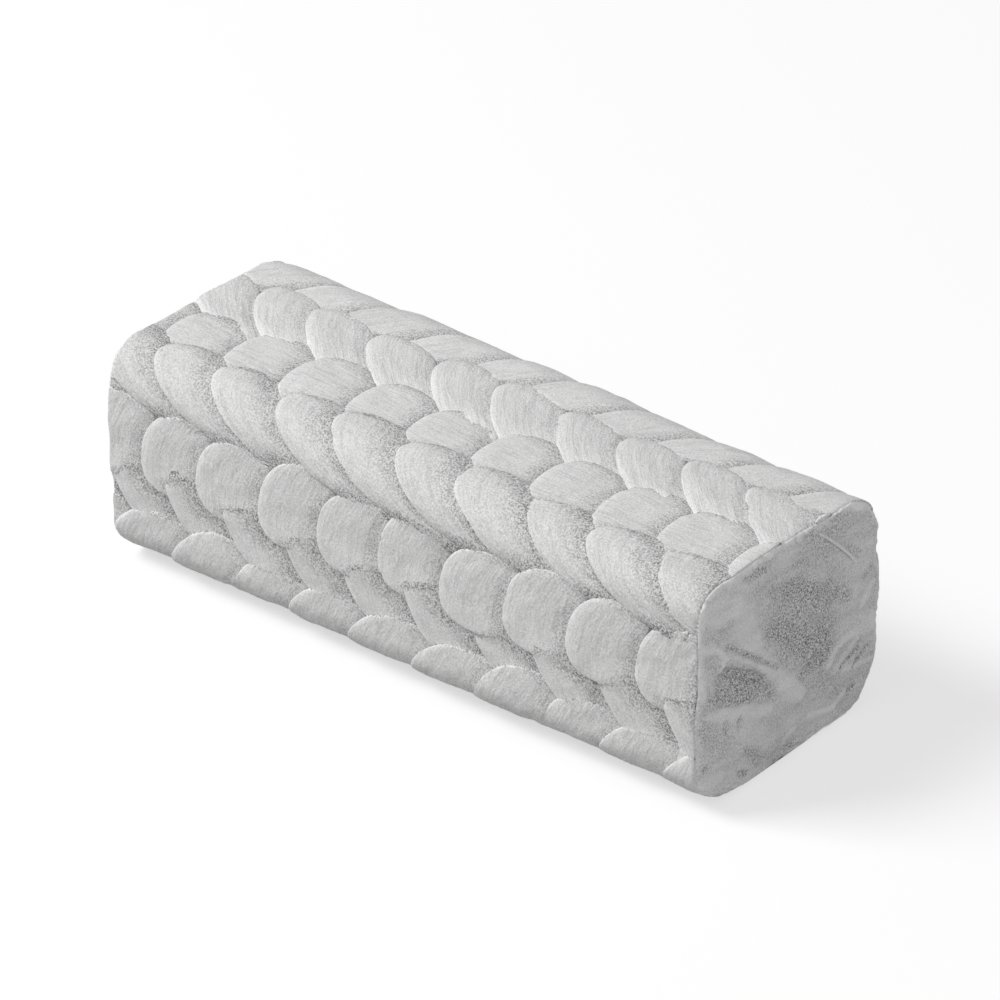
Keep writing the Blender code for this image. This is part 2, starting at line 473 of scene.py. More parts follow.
SIZE_INPUTS = ("Pitch", "Depth", "Roll", "Uneven along", "Uneven around", "Uneven crown", "Uneven size",
               "Fibre relief", "Lump relief", "Sides", "Rings")
TREE_INPUTS = {
    "Int": ("Count", "Seed", *SIZE_INPUTS[-2:]),
    "Float": ("First", "Around", "Half width", "Crown", "Lean", "Reach", "Tail", "Lift at start",
              "Lift at end", "Fullness", "Bow", *SIZE_INPUTS[:-2]),
    "Material": ("Material",),
}


def row_tree():
    """Geometry Nodes that lay one row of floats flat: X along, Y round the section, Z out."""
    tree = bpy.data.node_groups.new("Row of strand floats", "GeometryNodeTree")
    tree.interface.new_socket("Geometry", in_out="OUTPUT", socket_type="NodeSocketGeometry")
    for kind, names in TREE_INPUTS.items():
        for name in names:
            tree.interface.new_socket(name, in_out="INPUT", socket_type="NodeSocket" + kind)
    g = Graph(tree)
    entry = tree.nodes.new("NodeGroupInput")

    def given(name):
        return Wire(g, entry.outputs[name])

    def named(name, kind):
        return g.add("GeometryNodeInputNamedAttribute", {"data_type": kind}, {"Name": name})

    def store(geometry, name, kind, value):
        return g.add("GeometryNodeStoreNamedAttribute", {"data_type": kind, "domain": "POINT"},
                     {"Geometry": geometry, "Name": name, "Value": value})

    line = g.add("GeometryNodeMeshLine", {"mode": "OFFSET"},
                 {"Count": given("Count"), "Offset": (MM, 0.0, 0.0)})
    line = store(line, "lay", "FLOAT", g.add("GeometryNodeInputIndex"))
    ball = g.add("GeometryNodeMeshUVSphere", {}, {
        "Segments": given("Sides"), "Rings": given("Rings"), "Radius": 1.0})
    ball = store(ball, "ball", "FLOAT_VECTOR", g.add("GeometryNodeInputPosition"))
    laid = g.add("GeometryNodeInstanceOnPoints", {}, {"Points": line, "Instance": ball})
    laid = g.add("GeometryNodeRealizeInstances", {}, {"Geometry": laid})

    # Most of the ball's facets become the crown and flanks, and the rest are drawn in under them.
    lay = named("lay", "FLOAT")
    here = named("ball", "FLOAT_VECTOR")
    across, up, run = here.part("X"), here.part("Y"), here.part("Z")
    turn = across.math("ARCTAN2", up) / math.pi
    top = (abs(turn) / CROWN_TURN).least(1.0)
    under = ((abs(turn) - CROWN_TURN) / (1.0 - CROWN_TURN)).most(0.0)
    full = (1.0 - abs(run).least(1.0) ** given("Fullness")).most(0.0) ** (1.0 / given("Fullness"))
    side = top * EVEN + (top * (math.pi / 2)).math("SINE") * (1.0 - EVEN)
    crown_up = (1.0 - side.least(1.0) ** SQUARE).most(0.0) ** (1.0 / SQUARE)
    up = (crown_up - under * UNDERSIDE) * full ** TAPER
    across = turn.sign() * side * (1.0 - under) * full

    def chance(shift):
        """Three draws from -1 to 1 for each float. The half keeps its number clear of rounding."""
        return g.add("FunctionNodeRandomValue", {"data_type": "FLOAT_VECTOR"}, {
            "Min": (-1.0, -1.0, -1.0), "Max": (1.0, 1.0, 1.0), "ID": lay + shift, "Seed": given("Seed")})

    wander, growth = chance(0.5), chance(200.5)
    reach = given("Reach") * (1.0 + growth.part("X") * given("Uneven size"))
    way = given("Tail") * run.most(0.0) - reach * (-run).most(0.0)
    half_width = given("Half width") * (1.0 + growth.part("Y") * given("Uneven size") * 0.6)
    lean = given("Lean") * (1.0 + growth.part("Z") * given("Uneven size"))
    strand = lay + given("Seed") * 13.7  # so that no two floats share their noise
    along_mm = way * (FIBRE_STRETCH / MM)
    across_mm = across * half_width * (1.0 / MM)

    lumps = g.noise(g.xyz(along_mm * 0.22, across_mm * 0.30, strand), 1.0, 1.0) - 0.5
    waver = g.noise(g.xyz(along_mm * 0.5, across_mm * 0.4, strand), 1.0, 1.0)
    bundle = g.noise(g.xyz(along_mm * 0.10, across_mm + waver * 0.8, strand), 2.6, 2.0) - 0.5
    showing = up.most(0.0) ** 0.5
    relief = (lumps * given("Lump relief") * 2.0 + bundle * given("Fibre relief") * 2.0) * showing

    lift = given("Lift at start") * (-run).most(0.0) ** 2.0 + given("Lift at end") * run.most(0.0) ** 2.0
    middle_x = given("First") - lay * given("Pitch") + wander.part("X") * given("Uneven along")
    middle_y = given("Around") + wander.part("Y") * given("Uneven around")
    crown = given("Crown") + wander.part("Z") * given("Uneven crown")
    x = middle_x + lean * way + given("Bow") * (way / reach) ** 2.0 + half_width * across
    y = middle_y + way
    z = crown + given("Depth") * (up - 1.0) + lift - given("Roll") * across + relief
    laid = store(laid, "fibre", "FLOAT_VECTOR", g.xyz(along_mm, across_mm, strand))
    laid = store(laid, "middle", "FLOAT_VECTOR", g.xyz(middle_x, middle_y, crown))
    laid = store(laid, "spread", "FLOAT_VECTOR", g.xyz(half_width, reach, lean))
    laid = g.add("GeometryNodeSetPosition", {}, {"Geometry": laid, "Position": g.xyz(x, y, z)})
    laid = g.add("GeometryNodeSetShadeSmooth", {}, {"Geometry": laid, "Shade Smooth": True})
    laid = g.add("GeometryNodeRealizeInstances", {}, {"Geometry": laid})
    laid = g.add("GeometryNodeSetMaterial", {}, {"Geometry": laid, "Material": given("Material")})
    exit_node = tree.nodes.new("NodeGroupOutput")
    tree.links.new(laid.socket, exit_node.inputs["Geometry"])
    return tree


def trim(mesh, half_length):
    """The two square cuts: what stands past them goes, and each cut float is closed."""
    bm = bmesh.new()
    bm.from_mesh(mesh)
    for side in (1, -1):
        everything = bm.verts[:] + bm.edges[:] + bm.faces[:]
        cut = bmesh.ops.bisect_plane(bm, geom=everything, plane_co=(side * half_length, 0, 0),
                                     plane_no=(side, 0, 0), clear_outer=True, dist=1e-7)
        edges = [part for part in cut["geom_cut"] if isinstance(part, bmesh.types.BMEdge)]
        bmesh.ops.holes_fill(bm, edges=[edge for edge in edges if edge.is_boundary], sides=0)
    bmesh.ops.delete(bm, geom=[vert for vert in bm.verts if not vert.link_faces], context="VERTS")
    bmesh.ops.recalc_face_normals(bm, faces=bm.faces)
    bm.to_mesh(mesh)
    bm.free()


def row_inputs(number, row, sizes, section, material):
    """What the tree is given for a row, by the names of its inputs."""
    span = section.spans[row.face]
    return {
        **{name: getattr(sizes, name.lower().replace(" ", "_")) for name in SIZE_INPUTS},
        "Count": math.ceil(section.length / sizes.pitch) + 3,
        "First": section.length / 2 - (row.first - 1) * sizes.pitch,
        "Around": sum(section.spans[:row.face]) + row.over * span,
        "Half width": sizes.pitch / 2 + row.overlap * MM, "Crown": sizes.press + row.middle * MM,
        "Lean": row.lean, "Reach": row.share * span, "Tail": row.tail * span, "Fullness": row.full,
        "Lift at start": row.start * MM, "Lift at end": row.end * MM, "Bow": row.bow * MM,
        "Seed": number + 1, "Material": material,
    }


def highest_other(number, floats, flat, section):
    """How high the highest other float lies at each place of a flat row, and -1 where there is none."""
    highest = np.full(len(flat), -1.0)
    for step in (-2, -1, 0, 1, 2):
        turns, place = divmod(number + step, len(ROWS))
        near = floats[place]
        for index in range(len(near.middle)):
            height = near.height(index, flat[:, 0], flat[:, 1] - section.round * turns)
            if step == 0:
                height = np.where(near.on == index, -1.0, height)
            highest = np.maximum(highest, height)
    return highest


def painted_light(number, own, flat, cover, section):
    """Painted shade on a float's lee side, painted highlight on its free rims, and 1 on a corner of the
    section.
    """
    row, x, y = own.row, flat[:, 0], flat[:, 1]
    key = number * MOST_FLOATS + own.on
    run = own.lengthways(own.on, x, y)[0]
    # Painted shade spreads in from the lee edge, away from the lamp; painted highlight lies on the lamp
    # side.
    lee = np.radians(row.lee + row.turn * np.clip(run, -1.0, 1.0))
    to_lee = cover.room(key, x, y, np.cos(lee), np.sin(lee))
    to_lit_side = cover.room(key, x, y, -np.cos(lee), -np.sin(lee))
    to_next = cover.room(key, x, y, 0.0, 1.0)
    corner = section.on_corner(y)
    shade_reach = (2.4 + 1.3 * row.dust ** 2) * MM
    dust = row.dust * np.clip(1.0 - to_lee / shade_reach, 0.0, 1.0) ** 1.3 * (1.0 - 0.50 * corner)
    dust *= 1.0 - 0.7 * row.pale * np.exp(-to_next / (1.2 * MM))
    painted_highlight = np.maximum(np.exp(-to_lit_side / (0.5 * MM)), row.pale * np.exp(-to_next / (1.5 * MM)))
    return np.stack([dust, painted_highlight, corner], 1)


class PACKING_OT_strand_rows(bpy.types.Operator):
    """Lay the twelve rows of strand floats round the section"""
    bl_idname = "packing.strand_rows"
    bl_label = "Strand rows"

    def execute(self, context):
        sizes = context.scene.packing_sizes
        section = Section(sizes)
        material = yarn_material(context.scene.packing_colours)
        tree = row_tree()
        keys = {item.name: item.identifier for item in tree.interface.items_tree}
        pieces = []
        for number, row in enumerate(ROWS):
            holder = link_piece("strand_row_%02d" % (number + 1), bpy.data.meshes.new("flat row"))
            modifier = holder.modifiers.new("Row", "NODES")
            modifier.node_group = tree
            for name, value in row_inputs(number, row, sizes, section, material).items():
                modifier[keys[name]] = value
            pieces.append((row, holder, plain_mesh(holder)))

        floats = [Floats(row, mesh, sizes, section) for row, holder, mesh in pieces]
        cover = Cover(floats, section)
        for number, (row, holder, mesh) in enumerate(pieces):
            flat = triples(mesh.vertices, "co")
            lie = mesh.attributes.new("lie", "FLOAT_VECTOR", "POINT").data
            lie.foreach_set("vector", painted_light(number, floats[number], flat, cover, section).ravel())
            if row.along:
                fibre = mesh.attributes["fibre"].data
                fibre.foreach_set("vector", triples(fibre, "vector")[:, (1, 0, 2)].ravel())
            gap = np.abs(flat[:, 2] - highest_other(number, floats, flat, section)) / sizes.fillet
            flat[:, 2] += sizes.fillet / 4 * np.clip(1.0 - gap, 0.0, 1.0) ** 2
            out = flat[:, 2] - section.bend_over(flat[:, 0], sizes.cut_round)
            bent = section.place(flat[:, 0], flat[:, 1], out)
            land = LAND_STEP * (number + 0.5 * (floats[number].on % 2)) * MM
            bent[:, 2] = np.maximum(bent[:, 2], land)
            mesh.vertices.foreach_set("co", bent.ravel())
            for spare in ("middle", "spread", "ball", "lay"):
                mesh.attributes.remove(mesh.attributes[spare])
            trim(mesh, section.length / 2 - CAP_REACH)
            mesh.name = holder.name
            mesh.update()
            holder.data = mesh
            hand_over(holder)
        return {"FINISHED"}


class Floats:
    """The smooth shapes of a flat row's floats, for telling where one float lies over another."""

    def __init__(self, row, mesh, sizes, section):
        self.row, self.sizes = row, sizes
        self.tail = row.tail * section.spans[row.face]
        lay = np.empty(len(mesh.vertices))
        mesh.attributes["lay"].data.foreach_get("value", lay)
        first, self.on = np.unique(np.round(lay).astype(int), return_index=True, return_inverse=True)[1:]
        self.middle, self.spread = (triples(mesh.attributes[name].data, "vector")[first]
                                    for name in ("middle", "spread"))

    def lengthways(self, index, x, y):
        """Place along the float and across it, each from -1 to 1."""
        middle, (half_width, reach, lean) = self.middle[index].T, self.spread[index].T
        way = y - middle[1]
        bent = middle[0] + lean * way + self.row.bow * MM * (way / reach) ** 2
        return np.where(way > 0, way / self.tail, way / reach), (x - bent) / half_width

    def height(self, index, x, y):
        """Height over the skin, and -1 beside the float."""
        run, across = self.lengthways(index, x, y)
        row = self.row
        full = np.clip(1.0 - np.abs(run) ** row.full, 1e-9, None) ** (1.0 / row.full)
        up = np.clip(1.0 - np.abs(across / full) ** SQUARE, 0.0, None) ** (1.0 / SQUARE) * full ** TAPER
        lift = MM * (row.start * np.clip(-run, 0, None) ** 2 + row.end * np.clip(run, 0, None) ** 2)
        height = self.middle[index][2] + self.sizes.depth * (up - 1.0) + lift - self.sizes.roll * across
        return np.where((np.abs(run) < 1.0) & (np.abs(across) < full), height, -1.0)


class Cover:
    """Which float lies on top, for small cells of the skin laid out flat."""

    def __init__(self, floats, section, cell=0.12 * MM, far=4.0 * MM, past=4.0 * MM):
        self.cell, self.far, self.start = cell, far, -section.length / 2 - past
        self.shape = (int((section.length + 2 * past) / cell), int(round(section.round / cell)))
        self.top = np.full(self.shape, -1)
        height = np.full(self.shape, -0.9)
        for number, row in enumerate(floats):
            for index in range(len(row.middle)):
                (x, y, crown), (half_width, reach, lean) = row.middle[index], row.spread[index]
                long = max(reach, row.tail)
                wide = half_width + abs(lean) * long + abs(row.row.bow) * 2.5 * MM
                low = max(int((x - wide - self.start) / cell), 0)
                high = min(int((x + wide - self.start) / cell) + 1, self.shape[0])
                if low >= high:
                    continue
                i = np.arange(low, high)
                j = np.arange(int((y - long) / cell), int((y + long) / cell) + 1)
                cell_x, cell_y = self.start + (i[:, None] + 0.5) * cell, (j[None, :] + 0.5) * cell
                found = row.height(index, cell_x, cell_y)
                spot = np.ix_(i, j % self.shape[1])
                higher = found > height[spot]
                height[spot] = np.where(higher, found, height[spot])
                self.top[spot] = np.where(higher, number * MOST_FLOATS + index, self.top[spot])

    def room(self, key, x, y, way_x, way_y):
        """How far a float goes on in a direction before another lies on top, from places on it."""
        found = np.full(len(x), self.far)
        inside = np.zeros(len(x), bool)
        open_yet = np.ones(len(x), bool)
        for away in np.arange(0.0, self.far, self.cell):
            i = np.clip(((x + way_x * away - self.start) / self.cell).astype(int), 0, self.shape[0] - 1)
            j = np.floor((y + way_y * away) / self.cell).astype(int) % self.shape[1]
            on_it = self.top[i, j] == key
            ends = open_yet & inside & ~on_it
            found[ends] = away
            open_yet &= ~ends
            inside |= on_it
        found[~inside] = 0.0
        return found


class PACKING_OT_core(bpy.types.Operator):
    """The closed core that shows between the floats"""
    bl_idname = "packing.core"
    bl_label = "Core"

    def execute(self, context):
        sizes = context.scene.packing_sizes
        section = Section(sizes)
        steps_along, steps_around = 90, 120
        inset = 1.9 * MM
        along = np.linspace(-section.length / 2 + inset, section.length / 2 - inset, steps_along)
        around = np.linspace(0, section.round, steps_around, endpoint=False)
        places = section.place(along[:, None], around[None, :], -sizes.core_depth)
        bm = bmesh.new()
        skin(bm, [[bm.verts.new(place) for place in ring] for ring in places])
        close_up("braid_core", bm, core_material(), smooth_ends=False)
        return {"FINISHED"}


# ---- the cut ends ----

def soft_noise(y, z, cell, seed):
    """Smooth noise from -1 to 1 over the section, on cells of this size."""
    grid = np.random.default_rng(seed).uniform(-1, 1, (64, 64))
    u, v = y / cell + 32.37, z / cell + 20.61
    i, j = np.floor(u).astype(int), np.floor(v).astype(int)
    s, t = u - i, v - j
    s, t = s * s * (3 - 2 * s), t * t * (3 - 2 * t)

    def at(a, b):
        return grid[a % 64, b % 64]

    low = at(i, j) * (1 - s) + at(i + 1, j) * s
    high = at(i, j + 1) * (1 - s) + at(i + 1, j + 1) * s
    return low * (1 - t) + high * t


def off_line(y, z, y0, z0, y1, z1):
    """Distance from a straight line between two places, and the share of the way along it."""
    run_y, run_z = y1 - y0, z1 - z0
    share = np.clip(((y - y0) * run_y + (z - z0) * run_z) / (run_y ** 2 + run_z ** 2), 0.0, 1.0)
    return np.hypot(y - y0 - share * run_y, z - z0 - share * run_z), share


CUT_STEPS, CUT_RINGS = 340, 76  # places round a cut end, and rings from its rim to its middle
READ_AT = 0.9 * MM  # from the cut, where the outline of the strands is read
CAP_REACH = 0.20 * MM  # how far a cut end stands past the trimmed floats
CAP_INSIDE = 0.16 * MM  # how far its rim lies inside their outline
CAP_BEND = 0.4  # of the cut rounding, how far its own rim bends over
CAP_BACK, CAP_TAPER = 2.5 * MM, 0.985  # how far back it reaches, and how its back is drawn in
STROKE_DEPTH, STROKE_TONE = 1.25, 1.6  # by how much all the marks are strengthened

# What the knife left on a cut, in mm: from y, z, to y, z, half width, depth (less than 0 is a ridge), and
# how much lighter or, below 0, darker and coarser it is painted there. Darker marks lie mostly in the
# grooves, as painted shade, and lighter ones on the ridges, as painted highlight.
FRONT_MARKS = (
    (-10.3, 15.0, -4.0, 11.2, 0.6, 0.45, -0.55), (-10.6, 13.6, -2.4, 9.4, 1.9, 0.15, -0.35),
    (-12.4, 12.6, -6.8, 10.2, 0.9, 0.08, -0.3), (-9.6, 17.4, -1.7, 11.2, 0.35, 0.12, -0.45),
    (-9.9, 16.6, -4.6, 12.9, 0.45, -0.15, 0.15), (-4.6, 12.6, 2.2, 6.4, 1.1, -0.15, 0.35),
    (-12.6, 11.2, -2.8, 7.0, 0.9, -0.1, 0.3), (-7.45, 8.4, -7.5, 7.2, 0.45, 0.2, -0.55),
    (-9.8, 8.9, -9.6, 8.0, 0.7, 0.12, -0.35), (-3.0, 20.4, 1.8, 19.0, 1.0, 0.05, -0.35),
    (1.8, 19.0, 9.3, 14.0, 1.3, 0.05, -0.3), (5.4, 12.4, 6.2, 9.6, 1.1, 0.05, -0.3),
    (6.2, 9.4, 2.4, 8.4, 1.0, 0.05, -0.3), (-3.6, 15.9, -0.5, 15.1, 0.7, 0.05, -0.25),
    (-0.6, 16.8, 5.0, 12.0, 4.4, 0.04, -0.34), (6.4, 7.4, 8.0, 9.3, 0.55, -0.2, 0.35),
    (8.0, 9.3, 11.0, 9.2, 0.5, -0.2, 0.4), (11.0, 9.2, 11.3, 8.5, 0.4, -0.15, 0.3),
    (7.6, 6.2, 11.2, 8.4, 0.4, -0.12, 0.25), (8.2, 6.0, 11.5, 7.2, 0.22, 0.15, -0.6),
    (10.5, 5.2, 13.2, 6.9, 0.25, 0.15, -0.6), (9.2, 5.6, 14.2, 4.9, 0.4, -0.1, 0.4),
    (3.7, 3.0, 7.6, 2.1, 0.45, -0.1, 0.4), (7.6, 2.1, 9.4, 3.2, 0.4, -0.1, 0.35),
    (11.7, 11.9, 13.6, 13.9, 0.6, -0.1, 0.35), (13.6, 10.4, 14.0, 8.6, 0.5, 0.0, 0.4),
    (10.1, 2.9, 11.0, 3.0, 0.5, 0.12, -0.5), (-13.4, 3.8, -10.2, 2.9, 0.9, -0.1, 0.35),
    (-13.2, 5.1, -12.6, 5.3, 0.45, 0.1, -0.4), (-7.5, 2.0, -6.3, 1.4, 0.5, 0.08, -0.45),
    (-6.4, 4.0, -4.0, 2.1, 0.9, 0.05, -0.3), (1.3, 2.8, -0.5, 2.1, 0.5, -0.05, 0.35),
    (-0.4, 1.5, 2.0, 0.8, 0.3, 0.05, -0.45), (-7.4, 24.0, -4.6, 23.6, 0.6, 0.05, -0.35),
    (12.0, 15.2, 13.0, 15.9, 0.7, 0.05, -0.3), (9.4, 19.6, 11.0, 18.2, 0.5, 0.03, -0.3),
    (-12.8, 22.4, -9.0, 21.4, 1.8, -0.1, 0.3), (-8.4, 21.4, -5.4, 16.4, 1.8, -0.06, 0.22),
    (-4.6, 22.8, 1.5, 23.2, 1.1, -0.05, 0.18), (-13.7, 18.9, -11.6, 18.2, 0.42, -0.24, 0.45),
    (-11.6, 18.2, -10.2, 16.6, 0.42, -0.24, 0.45), (-10.2, 16.6, -10.7, 15.1, 0.36, -0.2, 0.4),
    (-13.2, 17.4, -11.8, 15.8, 0.7, 0.1, -0.1), (-13.6, 15.4, -13.4, 13.4, 0.5, -0.08, 0.35),
)
FAR_MARKS = (
    (-8.0, 7.0, 1.5, 13.0, 1.0, 0.35, -0.6), (-5.0, 16.5, 5.5, 18.5, 1.5, 0.08, -0.45),
    (2.0, 8.5, 8.0, 12.5, 1.6, -0.12, 0.3), (-10.5, 13.0, -6.0, 19.5, 1.4, -0.1, 0.3),
    (5.5, 4.5, 10.5, 7.5, 0.5, 0.12, -0.5), (8.5, 15.0, 11.5, 20.5, 1.2, -0.1, 0.3),
    (-9.5, 4.0, -2.5, 3.5, 0.9, -0.08, 0.3),
)


def outline_of(places, faces, section, x):
    """How far the strands reach from the middle of the section, all round, at a place along."""
    tree = BVHTree.FromPolygons(places, faces)
    middle = Vector((x, 0.0, section.height / 2))
    outside = 0.05  # beyond the section from its middle, in metres
    reach = np.full(CUT_STEPS, math.nan)
    for step in range(CUT_STEPS):
        turn = 2 * math.pi * step / CUT_STEPS
        way = Vector((0.0, math.cos(turn), math.sin(turn)))
        hit = tree.ray_cast(middle + way * outside, -way, outside)[0]
        if hit is not None:
            reach[step] = (hit - middle).length
    found = np.flatnonzero(~np.isnan(reach))
    if len(found) < CUT_STEPS / 2:
        raise RuntimeError("no strands at the cut")
    reach = np.interp(np.arange(CUT_STEPS), found, reach[found], period=CUT_STEPS)
    return np.mean([np.roll(reach, shift) for shift in range(-2, 3)], axis=0)


def cut_places(reach, section):
    """Places over a cut in mm, ring by ring from its rim inwards, and how far inside the rim they lie."""
    turns = 2 * math.pi * np.arange(CUT_STEPS) / CUT_STEPS
    share = np.linspace(0.0, 1.0, CUT_RINGS + 1)[:-1] ** 1.4
    radial = reach[None, :] * (1.0 - share[:, None]) / MM
    y = np.cos(turns)[None, :] * radial
    z = np.sin(turns)[None, :] * radial + section.height / 2 / MM
    inward = [np.hypot(ring_y[:, None] - y[0], ring_z[:, None] - z[0]).min(axis=1)
              for ring_y, ring_z in zip(y, z)]
    return y, z, np.stack(inward)


def smear(y, z, side, marks):
    """How far the face of a cut stands out in mm, and how light it is, at places in mm."""
    across, down = y * 0.77 - z * 0.64, y * 0.64 + z * 0.77  # the knife's way
    out = 0.16 * soft_noise(across, down, 3.4, 5 + side) \
        + 0.09 * soft_noise(across * 0.45, down, 1.3, 9 + side) \
        + 0.04 * soft_noise(across * 0.35, down, 0.55, 12 + side)
    tone = 0.25 * soft_noise(across * 0.6, down, 2.4, 21 + side)
    tone -= 0.12 * eased(y, -9, 2) * eased(z, 3, 12) * (1.0 - 1.4 * eased(y, 5, 13))
    ragged = 1 + 0.25 * soft_noise(y, z, 1.1, 31)
    for y0, z0, y1, z1, width, deep, light in marks:
        away, way = off_line(y, z, y0, z0, y1, z1)
        wide = width * (0.75 + 0.25 * np.sin(way * math.pi)) * ragged
        share = 1.0 - eased(away, 0.35 * wide, 1.25 * wide)
        out -= STROKE_DEPTH * deep * share
        tone += STROKE_TONE * light * share
    return out, tone


class PACKING_OT_cut_ends(bpy.types.Operator):
    """Close the two square cuts with the smeared ends of the strands"""
    bl_idname = "packing.cut_ends"
    bl_label = "Cut ends"

    def execute(self, context):
        rows = [piece for piece in bpy.data.objects if piece.name.startswith("strand_row_")]
        if not rows:
            raise RuntimeError("lay the strand rows first")
        sizes = context.scene.packing_sizes
        section = Section(sizes)
        half, middle = section.length / 2, section.height / 2
        places, faces = [], []
        for piece in rows:
            start = len(places)
            places += [vert.co.copy() for vert in piece.data.vertices]
            faces += [tuple(start + index for index in face.vertices) for face in piece.data.polygons]
        material = cut_material(context.scene.packing_colours)
        for name, side, marks in (("front_cut_end", 1, FRONT_MARKS), ("far_cut_end", -1, FAR_MARKS)):
            reach = outline_of(places, faces, section, side * (half - READ_AT)) - CAP_INSIDE
            y, z, inward = cut_places(reach, section)
            out, tone = smear(y, z, side, marks)
            frayed = inward + 0.30 * soft_noise(y, z, 0.8, 40 + side)
            frayed += 0.25 * soft_noise(y, z, 2.3, 43 + side)
            tuft = soft_noise(y, z, 0.42, 51 + side) + 0.7 * soft_noise(y, z, 0.21, 54 + side)
            bend = CAP_BEND * sizes.cut_round / MM
            run = np.clip(1.0 - inward / bend, 0.0, 1.0)
            sag = bend * (1.0 - np.sqrt(1.0 - run * run)) + 0.05 - 0.15 * eased(frayed, 0.15, 0.60)
            sag += 0.09 * tuft * (1.0 - eased(inward, 0.3, 1.6))
            x = side * (half / MM - sag + out * eased(frayed, 0.4, 1.3))
            # The whitish frayed rim, painted brighter toward the top as a highlight.
            rim = (1.0 - eased(frayed + 0.2 * tuft, -0.05, 0.85)) * (0.45 + 0.55 * eased(z, 9, 22))

            bm = bmesh.new()
            tone_layer = bm.verts.layers.float.new("tone")
            rim_layer = bm.verts.layers.float.new("rim")
            loops = []
            for ring, places_on in enumerate(np.stack([x, y, z], 2) * MM):
                loops.append([bm.verts.new(place) for place in places_on])
                for vert, light, edge in zip(loops[-1], tone[ring], rim[ring]):
                    vert[tone_layer], vert[rim_layer] = float(light), float(edge)
            back = [bm.verts.new((side * (half - CAP_BACK), vert.co.y * CAP_TAPER,
                                  middle + (vert.co.z - middle) * CAP_TAPER)) for vert in loops[0]]
            skin(bm, [back, *loops])
            close_up(name, bm, material)
        return {"FINISHED"}


def smooth_path(points, steps, between=12):
    """A smooth path through some places, evenly divided, and its length."""
    points = np.array(points, float)
    ends = np.vstack([2 * points[0] - points[1], points, 2 * points[-1] - points[-2]])
    found = [0.5 * (2 * b + (c - a) * share + (2 * a - 5 * b + 4 * c - d) * share ** 2
                    + (3 * b - a - 3 * c + d) * share ** 3)
             for a, b, c, d in zip(ends, ends[1:], ends[2:], ends[3:])
             for share in np.linspace(0, 1, between, endpoint=False)]
    found = np.array([*found, points[-1]])
    run = np.concatenate([[0], np.cumsum(np.linalg.norm(np.diff(found, axis=0), axis=1))])
    even = np.linspace(0, run[-1], steps)
    return np.stack([np.interp(even, run, found[:, axis]) for axis in range(3)], 1), run[-1]


def sweep(name, points, half_width, half_thick, material, steps=60, sides=14, blunt=14.0):
    """A loose strand over the cut end, closed and rounded at both ends. Sizes and places are in mm."""
    path, long = smooth_path(points, steps)
    bm = bmesh.new()
    fibre = bm.verts.layers.float_vector.new("fibre")
    lie = bm.verts.layers.float_vector.new("lie")
    rings = []
    for step, place in enumerate(path):
        way = path[min(step + 1, steps - 1)] - path[max(step - 1, 0)]
        way /= np.linalg.norm(way)
        across = np.cross(way, (1.0, 0.0, 0.0))
        across /= np.linalg.norm(across)
        out = np.cross(across, way)
        run = 2 * step / (steps - 1) - 1
        size = max(0.02, (1 - abs(run) ** blunt) ** (1 / 2.2))
        ring = []
        for side in range(sides):
            turn = 2 * math.pi * side / sides
            spot = across * math.cos(turn) * half_width + out * math.sin(turn) * half_thick
            vert = bm.verts.new((place + spot * size) * MM)
            vert[fibre] = (run * long / 2, math.cos(turn) * half_width, 91.3 + long)  # noise of its own
            vert[lie] = (0.0, 0.6, 0.0)  # no painted shade, some painted highlight, and on no corner
            ring.append(vert)
        rings.append(ring)
    skin(bm, rings)
    close_up(name, bm, material)


# The places that the one loose strand passes, and half its width and thickness, in mm.
LOOSE_PATH = ((37.7, 3.9, 23.9), (38.2, 4.9, 23.1), (38.35, 7.2, 21), (38.3, 9.2, 19), (37.9, 11.3, 16.7))
LOOSE_WIDE, LOOSE_THICK = 0.17, 0.15


class PACKING_OT_loose_strands(bpy.types.Operator):
    """The one fine strand that the knife left loose on the front cut"""
    bl_idname = "packing.loose_strands"
    bl_label = "Loose strands"

    def execute(self, context):
        material = bpy.data.materials.get("braided white yarn")
        if material is None:
            raise RuntimeError("lay the strand rows first")
        sweep("loose_filament", LOOSE_PATH, LOOSE_WIDE, LOOSE_THICK, material)
        return {"FINISHED"}


# ---- stage ----

# The camera, fitted to the outline: its direction in degrees, and in heights of the section how far off
# it stands and how far right of and over a place 1.5 heights from the cut it looks. There one height
# fills scale thousandths of the frame.
CAMERA = dict(azimuth=39.657, elevation=30.421, distance=22.0, scale=249.983, right=0.046, up=0.091)
SENSOR = 36.0  # mm
FLOOR_SIZE = 3.0  # m from its middle to its edges
FLOOR_GLOW = 0.60  # what lifts the lit floor to white for the camera
WORLD_LIGHT = 0.30  # from the world on the packing, where white is 1
LAMPS = (  # place and size in m, power in W
    ("key lamp", (-0.48, -0.42, 0.70), 0.40, 6.8),
    ("fill lamp", (0.86, -0.26, 0.22), 0.60, 2.0),
)


def seen_directly(g):
    """1 on the rays that show a surface, as from the camera, and 0 on those that light others by it."""
    path = g.tree.nodes.new("ShaderNodeLightPath")
    camera, glossy, clear = (Wire(g, path.outputs["Is %s Ray" % kind])
                             for kind in ("Camera", "Glossy", "Transmission"))
    return camera.most(glossy).most(clear)


